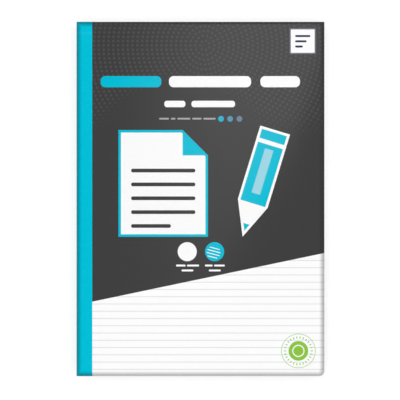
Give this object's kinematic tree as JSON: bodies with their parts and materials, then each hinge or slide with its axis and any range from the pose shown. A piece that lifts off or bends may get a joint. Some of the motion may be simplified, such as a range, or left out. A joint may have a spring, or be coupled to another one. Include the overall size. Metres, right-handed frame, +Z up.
{
  "type": "notepad",
  "caption": "Side-bound ruled notepad lying flat: a block of sheets glued between a hinged card cover and a stiff back board, with a tape wrapped round the spine.",
  "frame": {"origin": "middle of the pad's footprint, on the surface that it lies on", "axes": "+X from the taped spine to the fore edge, +Y from the tail to the head, +Z up through the front cover"},
  "size_m": [0.147, 0.21, 0.0095],
  "materials": {
    "greyboard": "uncoated, flecked",
    "sheets": "smooth uncoated",
    "glue": "dried padding glue",
    "cover_card": "printed, lightly coated",
    "tape": "coated binding tape"
  },
  "bodies": {
    "pad": {"back_board": "greyboard", "page_block": "sheets", "spine_glue": "glue", "cover_glued_strip": "cover_card", "spine_tape": "tape"},
    "cover": {"front_cover": "cover_card"}
  },
  "joints": [
    {"name": "cover_hinge", "type": "hinge", "parent": "pad", "child": "cover", "pos_m": [-0.064, 0, 0.00958], "axis": [0, -1, 0], "range_deg": [0, 178]}
  ]
}
